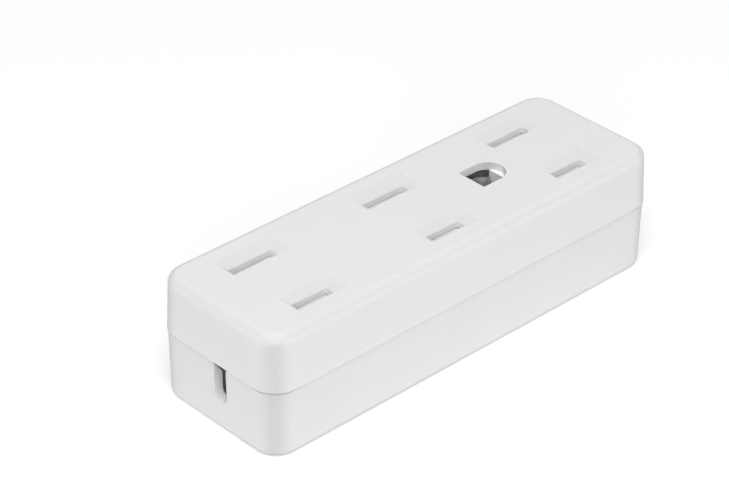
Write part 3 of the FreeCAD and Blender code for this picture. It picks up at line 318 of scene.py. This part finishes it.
def tinted(tree, color, amount):
    """Colour made lighter or darker by a factor near one."""
    node = add_node(tree, "ShaderNodeVectorMath", operation="SCALE")
    link(tree, color, node.inputs[0])
    link(tree, amount, node.inputs["Scale"])
    return node.outputs[0]


# Shared effects ---------------------------------------------------------------

SURFACE_OUTPUTS = (
    ("Color", "NodeSocketColor"), ("Roughness", "NodeSocketFloat"), ("Height", "NodeSocketFloat"),
)


def painted_edge_darkening(tree, painted_edge_shade):
    """Painted shade: factor of one on flat walls, falling to the edge shade where the surface turns
    between them, so rounded edges and sloped walls read darker.
    """
    facing = add_node(tree, "ShaderNodeTexCoord").outputs["Normal"]
    size = add_node(tree, "ShaderNodeVectorMath", operation="ABSOLUTE")
    link(tree, facing, size.inputs[0])
    parts = add_node(tree, "ShaderNodeSeparateXYZ")
    link(tree, size.outputs[0], parts.inputs[0])
    sideways = math_node(tree, "MAXIMUM", parts.outputs["X"], parts.outputs["Y"])
    flatness = math_node(tree, "MAXIMUM", sideways, parts.outputs["Z"])
    square = math_node(tree, "SUBTRACT", 1.0, math_node(tree, "POWER", flatness, 2.0))
    turn = math_node(tree, "SQRT", square, 0.0)
    return map_range(tree, turn, (PAINTED_SHADE_START, PAINTED_SHADE_END), 1.0, painted_edge_shade)


def moulded_surface_group():
    """Fine moulded grain with slow flow marks and painted shade on rounded edges: colour, roughness and
    bump height.
    """
    tree, enter, leave = new_group(
        "Moulded surface",
        (("Color", "NodeSocketColor", (0.8, 0.8, 0.8, 1.0)), ("Roughness", "NodeSocketFloat", 0.4),
         ("Grain Size", "NodeSocketFloat", 0.0002), ("Flow Size", "NodeSocketFloat", 0.01),
         ("Variation", "NodeSocketFloat", 0.01), ("Painted Edge Shade", "NodeSocketFloat", 1.0)),
        SURFACE_OUTPUTS)
    place = add_node(tree, "ShaderNodeTexCoord").outputs["Object"]
    grains_per_metre = math_node(tree, "DIVIDE", 1.0, enter.outputs["Grain Size"])
    grain = noise(tree, place, grains_per_metre, GRAIN_DETAIL)
    waves_per_metre = math_node(tree, "DIVIDE", 1.0, enter.outputs["Flow Size"])
    flow = noise(tree, place, waves_per_metre, FLOW_DETAIL)
    dark = math_node(tree, "SUBTRACT", 1.0, enter.outputs["Variation"])
    light = math_node(tree, "ADD", 1.0, enter.outputs["Variation"])
    # The flow marks' random tone and the painted shade on rounded edges both scale the colour.
    shade = math_node(tree, "MULTIPLY", map_range(tree, flow, FLOW_SPAN, dark, light),
                      painted_edge_darkening(tree, enter.outputs["Painted Edge Shade"]))
    link(tree, tinted(tree, enter.outputs["Color"], shade), leave.inputs["Color"])
    smooth = math_node(tree, "SUBTRACT", enter.outputs["Roughness"], ROUGHNESS_SWING)
    rough = math_node(tree, "ADD", enter.outputs["Roughness"], ROUGHNESS_SWING)
    link(tree, map_range(tree, grain, GRAIN_SPAN, smooth, rough), leave.inputs["Roughness"])
    link(tree, grain, leave.inputs["Height"])
    return tree


def drawn_metal_group():
    """Rolled or drawn metal: fine parallel marks with faint dull patches."""
    tree, enter, leave = new_group(
        "Drawn metal",
        (("Color", "NodeSocketColor", (0.6, 0.6, 0.6, 1.0)), ("Roughness", "NodeSocketFloat", 0.3),
         ("Mark Size", "NodeSocketFloat", 0.0003), ("Stretch", "NodeSocketVector", (0.1, 1.0, 1.0)),
         ("Tarnish", "NodeSocketFloat", 0.1)),
        SURFACE_OUTPUTS)
    place = add_node(tree, "ShaderNodeTexCoord").outputs["Object"]
    stretched = add_node(tree, "ShaderNodeVectorMath", operation="MULTIPLY")
    link(tree, place, stretched.inputs[0])
    link(tree, enter.outputs["Stretch"], stretched.inputs[1])
    marks_per_metre = math_node(tree, "DIVIDE", 1.0, enter.outputs["Mark Size"])
    marks = noise(tree, stretched.outputs[0], marks_per_metre, MARK_DETAIL)
    patches = noise(tree, place, PATCHES_PER_METRE, PATCH_DETAIL)
    dark = math_node(tree, "SUBTRACT", 1.0, enter.outputs["Tarnish"])
    shade = math_node(tree, "MULTIPLY", map_range(tree, patches, PATCH_SPAN, 1.0, dark),
                      map_range(tree, marks, MARK_SPAN, *MARK_SHADES))
    link(tree, tinted(tree, enter.outputs["Color"], shade), leave.inputs["Color"])
    patchy = math_node(tree, "ADD", enter.outputs["Roughness"],
                       map_range(tree, patches, PATCH_SPAN, 0.0, PATCH_ROUGHNESS))
    marked = map_range(tree, marks, MARK_SPAN, -ROUGHNESS_SWING, ROUGHNESS_SWING)
    link(tree, math_node(tree, "ADD", patchy, marked), leave.inputs["Roughness"])
    link(tree, marks, leave.inputs["Height"])
    return tree


def shared_group(name, maker):
    """The named group, made at its first use."""
    found = bpy.data.node_groups.get(name)
    return found if found else maker()


# Materials --------------------------------------------------------------------

def new_material(name):
    """Material with a Principled shader; returns both the material and the shader."""
    material = bpy.data.materials.new(name)
    material.use_nodes = True
    return material, material.node_tree.nodes["Principled BSDF"]


def dressed(name, group, values, bump_depth):
    """Material whose shader takes colour, roughness and bump from a shared group."""
    material, shader = new_material(name)
    tree = material.node_tree
    effect = add_node(tree, "ShaderNodeGroup", node_tree=group)
    for label, value in values.items():
        effect.inputs[label].default_value = value
    link(tree, effect.outputs["Color"], shader.inputs["Base Color"])
    link(tree, effect.outputs["Roughness"], shader.inputs["Roughness"])
    bump = add_node(tree, "ShaderNodeBump")
    bump.inputs["Distance"].default_value = bump_depth
    link(tree, effect.outputs["Height"], bump.inputs["Height"])
    link(tree, bump.outputs["Normal"], shader.inputs["Normal"])
    return material, shader


def plastic(name, color, *, roughness, grain_size, flow_size, variation, depth, painted_edge_shade=1.0):
    """Moulded plastic; returns the material and its shader."""
    group = shared_group("Moulded surface", moulded_surface_group)
    values = {
        "Color": (*color, 1.0), "Roughness": roughness, "Grain Size": grain_size,
        "Flow Size": flow_size, "Variation": variation, "Painted Edge Shade": painted_edge_shade,
    }
    material, shader = dressed(name, group, values, depth)
    shader.inputs["IOR"].default_value = PLASTIC_IOR
    return material, shader


def metal(name, color, *, roughness, mark_size, tarnish, stretch=EVEN):
    """Rolled or drawn metal."""
    group = shared_group("Drawn metal", drawn_metal_group)
    values = {
        "Color": (*color, 1.0), "Roughness": roughness, "Mark Size": mark_size,
        "Stretch": stretch, "Tarnish": tarnish,
    }
    material, shader = dressed(name, group, values, mark_size / MARK_WIDTH_TO_DEPTH)
    shader.inputs["Metallic"].default_value = 1.0
    return material


def dress_node(name, material):
    """Gives a carried-over solid its material."""
    mesh = frame["nodes"][name].data
    mesh.materials.clear()
    mesh.materials.append(material)


def dress_nodes(names, material):
    """Gives several carried-over solids the same material."""
    for name in names:
        dress_node(name, material)


def merged_copy(node, name, material):
    """Smooth, closed piece with the shape of a carried-over solid."""
    shape = bmesh.new()
    shape.from_mesh(frame["nodes"][node].data)
    bmesh.ops.remove_doubles(shape, verts=shape.verts, dist=MERGE_DISTANCE)
    for face in shape.faces:
        face.smooth = True
    mesh = bpy.data.meshes.new(name)
    shape.to_mesh(mesh)
    shape.free()
    mesh.materials.clear()
    mesh.materials.append(material)
    return bpy.data.objects.new(name, mesh)


# Operators --------------------------------------------------------------------

class TAP_OT_shells(bpy.types.Operator):
    """Finish the upper cover and the lower case"""

    bl_idname = "tap.shells"
    bl_label = "Finish shells"

    def execute(self, context):
        settings = context.scene.tap_shell
        shell, shader = plastic(
            "White shell plastic", settings.color, roughness=settings.roughness,
            grain_size=settings.grain_size, flow_size=settings.flow_size, variation=settings.variation,
            depth=settings.grain_depth, painted_edge_shade=settings.painted_edge_shade)
        shader.inputs["Specular IOR Level"].default_value = settings.shine
        dress_nodes(("upper_cover", "lower_case"), shell)
        return {"FINISHED"}


class TAP_OT_shutters(bpy.types.Operator):
    """Finish the shutters and their frame"""

    bl_idname = "tap.shutters"
    bl_label = "Finish shutters"

    def execute(self, context):
        inner = context.scene.tap_inner
        # The shutters' grey is painted shade from the slots' inside.
        shutter, _ = plastic(
            "Shutter plastic", inner.shaded_shutter_color, roughness=0.5, grain_size=0.00018, flow_size=0.006,
            variation=0.01, depth=0.000003)
        dress_nodes([f"shutter_{number}" for number in OUTLETS], shutter)
        # The frame's rounded edges carry a little painted shade.
        carrier, _ = plastic(
            "Shutter frame plastic", inner.frame_color, roughness=0.55, grain_size=0.0002,
            flow_size=0.008, variation=0.012, depth=0.000004, painted_edge_shade=0.96)
        dress_node("shutter_frame", carrier)
        return {"FINISHED"}


class TAP_OT_springs(bpy.types.Operator):
    """Make smooth return springs from the spring solids, held by the bodies that the shutters slide on
    """

    bl_idname = "tap.springs"
    bl_label = "Coil return springs"

    def execute(self, context):
        metals = context.scene.tap_metal
        wire = metal("Spring wire", metals.plate_color, roughness=0.28, mark_size=0.00008,
                     tarnish=0.12)
        slides = {joint["name"]: joint for joint in frame["joints"]}
        for number in OUTLETS:
            slide = slides[f"shutter_{number}_slide"]
            solid = f"shutter_spring_{number}"
            coil = merged_copy(solid, f"return_spring_{number}", wire)
            context.scene.collection.objects.link(coil)
            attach(coil, slide["parent"])
            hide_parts(solid)
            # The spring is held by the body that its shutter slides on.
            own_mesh(coil)
        return {"FINISHED"}


class TAP_OT_contacts(bpy.types.Operator):
    """Finish the contact clips, the two bus strips and their rivets"""

    bl_idname = "tap.contacts"
    bl_label = "Finish contacts"

    def execute(self, context):
        metals = context.scene.tap_metal
        marks = metals.drawing_size
        clip = metal("Bronze clip", metals.clip_color, roughness=0.30, mark_size=marks, tarnish=0.14,
                     stretch=(1.0, 1.0, 0.08))
        for number in OUTLETS:
            dress_nodes((f"live_clip_{number}", f"neutral_clip_{number}"), clip)
        strip = metal("Brass strip", metals.strip_color, roughness=0.32, mark_size=marks, tarnish=0.12,
                      stretch=(0.06, 1.0, 1.0))
        dress_nodes(("live_bus_strip", "neutral_bus_strip"), strip)
        rivet = metal("Brass rivet", metals.strip_color, roughness=0.24, mark_size=marks, tarnish=0.10,
                      stretch=(1.0, 0.3, 1.0))
        dress_node("clip_rivets", rivet)
        return {"FINISHED"}


class TAP_OT_earth(bpy.types.Operator):
    """Finish the earth sleeve and the strip that it stands on"""

    bl_idname = "tap.earth"
    bl_label = "Finish earth circuit"

    def execute(self, context):
        metals = context.scene.tap_metal
        marks = metals.drawing_size
        sleeve = metal("Nickel sleeve", metals.sleeve_color, roughness=0.34, mark_size=marks,
                       tarnish=0.08, stretch=(1.0, 1.0, 0.1))
        dress_node("earth_sleeve", sleeve)
        strip = metal("Earth strip brass", metals.strip_color, roughness=0.35, mark_size=marks,
                      tarnish=0.14, stretch=(0.08, 1.0, 1.0))
        dress_node("earth_strip", strip)
        return {"FINISHED"}


class TAP_OT_screws(bpy.types.Operator):
    """Finish the screws, washers and cord clamp"""

    bl_idname = "tap.screws"
    bl_label = "Finish screws and clamp"

    def execute(self, context):
        metals = context.scene.tap_metal
        plated = metal("Zinc plating", metals.plate_color, roughness=0.33, mark_size=0.0004,
                       tarnish=0.10)
        dress_nodes(("shutter_frame_screws", "terminal_screws", "clamp_screws", "case_screws"), plated)
        sheet = metal("Zinc-plated sheet", metals.plate_color, roughness=0.38, mark_size=0.0003,
                      tarnish=0.12, stretch=(1.0, 0.1, 1.0))
        dress_nodes(("terminal_washers", "cord_clamp"), sheet)
        return {"FINISHED"}


class TAP_OT_surge_parts(bpy.types.Operator):
    """Finish the varistor, the thermal fuse and their leads"""

    bl_idname = "tap.surge_parts"
    bl_label = "Finish surge parts"

    def execute(self, context):
        inner = context.scene.tap_inner
        metals = context.scene.tap_metal
        coat, _ = plastic(
            "Varistor coat", inner.varistor_color, roughness=0.28, grain_size=0.0007, flow_size=0.003,
            variation=0.08, depth=0.00002)
        dress_node("varistor", coat)
        # The fuse body's rounded edges carry a little painted shade.
        body, _ = plastic(
            "Fuse body", inner.fuse_color, roughness=0.35, grain_size=0.0003, flow_size=0.002,
            variation=0.05, depth=0.000004, painted_edge_shade=0.95)
        dress_node("thermal_fuse", body)
        lead = metal("Tinned lead", metals.plate_color, roughness=0.25, mark_size=0.0001, tarnish=0.08)
        dress_nodes(("varistor_leads", "fuse_leads"), lead)
        return {"FINISHED"}


class TAP_OT_stage(bpy.types.Operator):
    """Set up the floor, the sky, the lamps and the camera"""

    bl_idname = "tap.stage"
    bl_label = "Set up stage"

    def execute(self, context):
        settings = context.scene.tap_stage
        add_floor(context, settings)
        add_sky(context, settings)
        add_lamps(context, context.scene.tap_lamps)
        add_camera(context, settings)
        context.scene.view_settings.view_transform = "Standard"
        return {"FINISHED"}


OPERATORS = (
    TAP_OT_shells, TAP_OT_shutters, TAP_OT_springs, TAP_OT_contacts, TAP_OT_earth, TAP_OT_screws,
    TAP_OT_surge_parts, TAP_OT_stage,
)


# Stage ------------------------------------------------------------------------

def seen_rays(tree):
    """One where the camera, or a reflection or clear piece in front of it, sees the surface."""
    rays = add_node(tree, "ShaderNodeLightPath")
    mirrored = math_node(
        tree, "MAXIMUM", rays.outputs["Is Glossy Ray"], rays.outputs["Is Transmission Ray"])
    return math_node(tree, "MAXIMUM", rays.outputs["Is Camera Ray"], mirrored)


def add_floor(context, settings):
    """Pale floor that reads as white to the camera and keeps the object's shadow."""
    mesh = bpy.data.meshes.new("floor")
    shape = bmesh.new()
    bmesh.ops.create_grid(shape, x_segments=1, y_segments=1, size=settings.floor_size / 2)
    shape.to_mesh(mesh)
    shape.free()
    floor = bpy.data.objects.new("floor", mesh)
    context.scene.collection.objects.link(floor)
    material, shader = new_material("Floor")
    tree = material.node_tree
    shader.inputs["Base Color"].default_value = (*settings.floor_color, 1.0)
    shader.inputs["Roughness"].default_value = FLOOR_ROUGHNESS
    shader.inputs["Specular IOR Level"].default_value = 0.0
    mesh.materials.append(material)
    glow = add_node(tree, "ShaderNodeEmission")
    strength = math_node(tree, "MULTIPLY", seen_rays(tree), settings.floor_glow)
    link(tree, strength, glow.inputs["Strength"])
    both = add_node(tree, "ShaderNodeAddShader")
    link(tree, shader.outputs[0], both.inputs[0])
    link(tree, glow.outputs[0], both.inputs[1])
    link(tree, both.outputs[0], tree.nodes["Material Output"].inputs["Surface"])


def add_sky(context, settings):
    """Even light from all round, white where the camera sees it."""
    world = bpy.data.worlds.new("Sky")
    context.scene.world = world
    world.use_nodes = True
    tree = world.node_tree
    background = tree.nodes["Background"]
    background.inputs["Color"].default_value = (1.0, 1.0, 1.0, 1.0)
    strength = map_range(tree, seen_rays(tree), (0.0, 1.0), settings.world_strength, 1.0)
    link(tree, strength, background.inputs["Strength"])


def outward(azimuth, elevation):
    """Direction from the case to something that stands round it; azimuth 0 is straight in front."""
    level = math.cos(elevation)
    return Vector((math.sin(azimuth) * level, -math.cos(azimuth) * level, math.sin(elevation)))


def add_lamps(context, settings):
    """Soft round lamps, all turned to the case."""
    places = zip(LAMPS, settings.azimuths, settings.elevations, settings.powers)
    for name, azimuth, elevation, power in places:
        lamp = bpy.data.lights.new(name, "AREA")
        lamp.shape = "DISK"
        lamp.size = settings.size
        lamp.energy = power
        holder = bpy.data.objects.new(name, lamp)
        context.scene.collection.objects.link(holder)
        direction = outward(azimuth, elevation)
        holder.location = direction * settings.distance
        holder.rotation_mode = "QUATERNION"
        holder.rotation_quaternion = (-direction).to_track_quat("-Z", "Y")


def add_camera(context, settings):
    """Camera placed by its angles round the case, its distance and its aim."""
    back = outward(settings.camera_azimuth, settings.camera_elevation)
    right = (-back).cross(Vector((0.0, 0.0, 1.0))).normalized()
    up = right.cross(-back)
    turn = Matrix.Rotation(settings.camera_roll, 3, back)
    right = turn @ right
    up = turn @ up
    data = bpy.data.cameras.new("camera")
    data.sensor_width = SENSOR_WIDTH
    data.lens = settings.camera_lens
    data.clip_start, data.clip_end = CAMERA_CLIP
    camera = bpy.data.objects.new("camera", data)
    context.scene.collection.objects.link(camera)
    target = Vector((0.0, 0.0, settings.aim_height))
    shift_right, shift_up = settings.aim_offset
    camera.location = target + back * settings.camera_distance - right * shift_right - up * shift_up
    camera.rotation_mode = "QUATERNION"
    camera.rotation_quaternion = Matrix((right, up, back)).transposed().to_quaternion()
    context.scene.camera = camera


# Panel and registration -------------------------------------------------------

class TAP_PT_panel(bpy.types.Panel):
    """Lists the tap's settings and operators"""

    bl_idname = "TAP_PT_panel"
    bl_label = "Power Tap"
    bl_space_type = "VIEW_3D"
    bl_region_type = "UI"
    bl_category = "Power Tap"

    def draw(self, context):
        layout = self.layout
        for attribute, group in SETTINGS:
            box = layout.box()
            box.label(text=group.__doc__)
            for label in group.__annotations__:
                box.prop(getattr(context.scene, attribute), label)
        for operator in OPERATORS:
            layout.operator(operator.bl_idname)


def register():
    """Adds the settings, the operators and the panel."""
    for attribute, group in SETTINGS:
        bpy.utils.register_class(group)
        setattr(bpy.types.Scene, attribute, bpy.props.PointerProperty(type=group))
    for operator in OPERATORS:
        bpy.utils.register_class(operator)
    bpy.utils.register_class(TAP_PT_panel)


def unregister():
    """Takes the panel, the operators and the settings away again."""
    bpy.utils.unregister_class(TAP_PT_panel)
    for operator in reversed(OPERATORS):
        bpy.utils.unregister_class(operator)
    for attribute, group in reversed(SETTINGS):
        delattr(bpy.types.Scene, attribute)
        bpy.utils.unregister_class(group)


def main():
    """Dresses the tap and sets up its stage."""
    register()
    bpy.ops.tap.shells()
    bpy.ops.tap.shutters()
    bpy.ops.tap.springs()
    bpy.ops.tap.contacts()
    bpy.ops.tap.earth()
    bpy.ops.tap.screws()
    bpy.ops.tap.surge_parts()
    bpy.ops.tap.stage()


if __name__ == "__main__":
    main()
